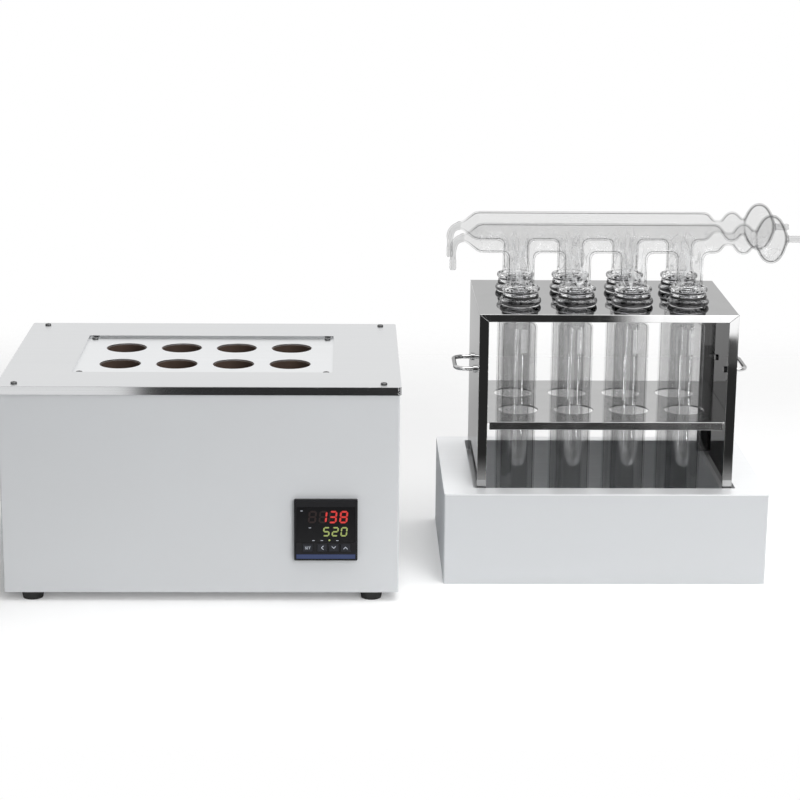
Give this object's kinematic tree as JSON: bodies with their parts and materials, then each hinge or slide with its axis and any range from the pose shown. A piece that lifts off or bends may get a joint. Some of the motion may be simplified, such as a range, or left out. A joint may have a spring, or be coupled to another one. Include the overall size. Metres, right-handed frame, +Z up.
{
  "type": "kjeldahl analyzer digestion set",
  "caption": "Bench digestion set: heating furnace with round wells and a panel controller, beside a drip tray with a lift-out rack of glass tubes under blown glass fume manifolds.",
  "frame": {"origin": "middle of the whole set's box, on the bench top", "axes": "+X along the bench from the furnace to the tray, +Y to the back, +Z up"},
  "size_m": [0.924, 0.3362, 0.424],
  "materials": {
    "painted": "satin light grey powder coat",
    "cover_steel": "bright brushed stainless",
    "mirror_steel": "mirror polished stainless",
    "dark_screw": "dark oxide screw",
    "zinc_screw": "plated screw",
    "inner_steel": "mill finish steel",
    "sink_aluminium": "extruded aluminium",
    "black_plastic": "fine matt black",
    "key_plastic": "matt soft key",
    "display_glass": "dark gloss window",
    "pale_plastic": "cream moulded plastic",
    "rubber": "black rubber",
    "ceramic": "fired dark ceramic, opaque",
    "mica": "mica band",
    "fibre": "pressed ceramic fibre",
    "clear_glass": "clear borosilicate glass"
  },
  "bodies": {
    "furnace": {"housing_shell": "painted", "base_plate": "painted", "rear_panel": "painted", "top_cover": "cover_steel", "hole_plate": "cover_steel", "cover_screws": "dark_screw", "plate_screws": "dark_screw", "foot_screws": "zinc_screw", "panel_screws": "zinc_screw", "well_carrier": "inner_steel", "carrier_posts": "inner_steel", "thermocouple": "inner_steel", "relay_heatsink": "sink_aluminium", "controller_bezel": "black_plastic", "controller_case": "black_plastic", "controller_clamps": "black_plastic", "power_inlet": "black_plastic", "controller_display": "display_glass", "relay": "pale_plastic", "terminal_block": "pale_plastic", "foot_1": "rubber", "foot_2": "rubber", "foot_3": "rubber", "foot_4": "rubber", "heating_well_1": "ceramic", "heating_well_2": "ceramic", "heating_well_3": "ceramic", "heating_well_4": "ceramic", "heating_well_5": "ceramic", "heating_well_6": "ceramic", "heating_well_7": "ceramic", "heating_well_8": "ceramic", "heater_bands": "mica", "insulation_jacket": "fibre"},
    "key_set": {"key_set": "key_plastic"},
    "key_shift": {"key_shift": "key_plastic"},
    "key_down": {"key_down": "key_plastic"},
    "key_up": {"key_up": "key_plastic"},
    "rocker": {"power_rocker": "black_plastic"},
    "tray": {"tray_shell": "painted", "tray_basin": "mirror_steel"},
    "tube_rack": {"rack_top_plate": "mirror_steel", "rack_left_panel": "mirror_steel", "rack_right_panel": "mirror_steel", "rack_shelf": "mirror_steel", "handle_left": "mirror_steel", "handle_right": "mirror_steel", "handle_screws": "dark_screw", "digestion_tube_1": "clear_glass", "digestion_tube_2": "clear_glass", "digestion_tube_3": "clear_glass", "digestion_tube_4": "clear_glass", "digestion_tube_5": "clear_glass", "digestion_tube_6": "clear_glass", "digestion_tube_7": "clear_glass", "digestion_tube_8": "clear_glass"},
    "front_head": {"front_manifold": "clear_glass", "front_seals": "rubber"},
    "rear_head": {"rear_manifold": "clear_glass", "rear_seals": "rubber"}
  },
  "joints": [
    {"name": "key_set_press", "type": "slide", "parent": "furnace", "child": "key_set", "axis": [0, 1, 0], "range_m": [0, 0.0005], "stiffness_N_per_m": 600},
    {"name": "key_shift_press", "type": "slide", "parent": "furnace", "child": "key_shift", "axis": [0, 1, 0], "range_m": [0, 0.0005], "stiffness_N_per_m": 600},
    {"name": "key_down_press", "type": "slide", "parent": "furnace", "child": "key_down", "axis": [0, 1, 0], "range_m": [0, 0.0005], "stiffness_N_per_m": 600},
    {"name": "key_up_press", "type": "slide", "parent": "furnace", "child": "key_up", "axis": [0, 1, 0], "range_m": [0, 0.0005], "stiffness_N_per_m": 600},
    {"name": "rocker_tilt", "type": "hinge", "parent": "furnace", "child": "rocker", "pos_m": [-0.0805, 0.16249, 0.0805], "axis": [-1, 0, 0], "range_deg": [0, 16]},
    {"name": "tray_shift", "type": "slide", "parent": "furnace", "child": "tray", "axis": [1, 0, 0], "range_m": [0, 0.12]},
    {"name": "rack_lift", "type": "slide", "parent": "tray", "child": "tube_rack", "axis": [0, 0, 1], "range_m": [0, 0.25]},
    {"name": "front_head_lift", "type": "slide", "parent": "tube_rack", "child": "front_head", "axis": [0, 0, 1], "range_m": [0, 0.1]},
    {"name": "rear_head_lift", "type": "slide", "parent": "tube_rack", "child": "rear_head", "axis": [0, 0, 1], "range_m": [0, 0.1]}
  ]
}
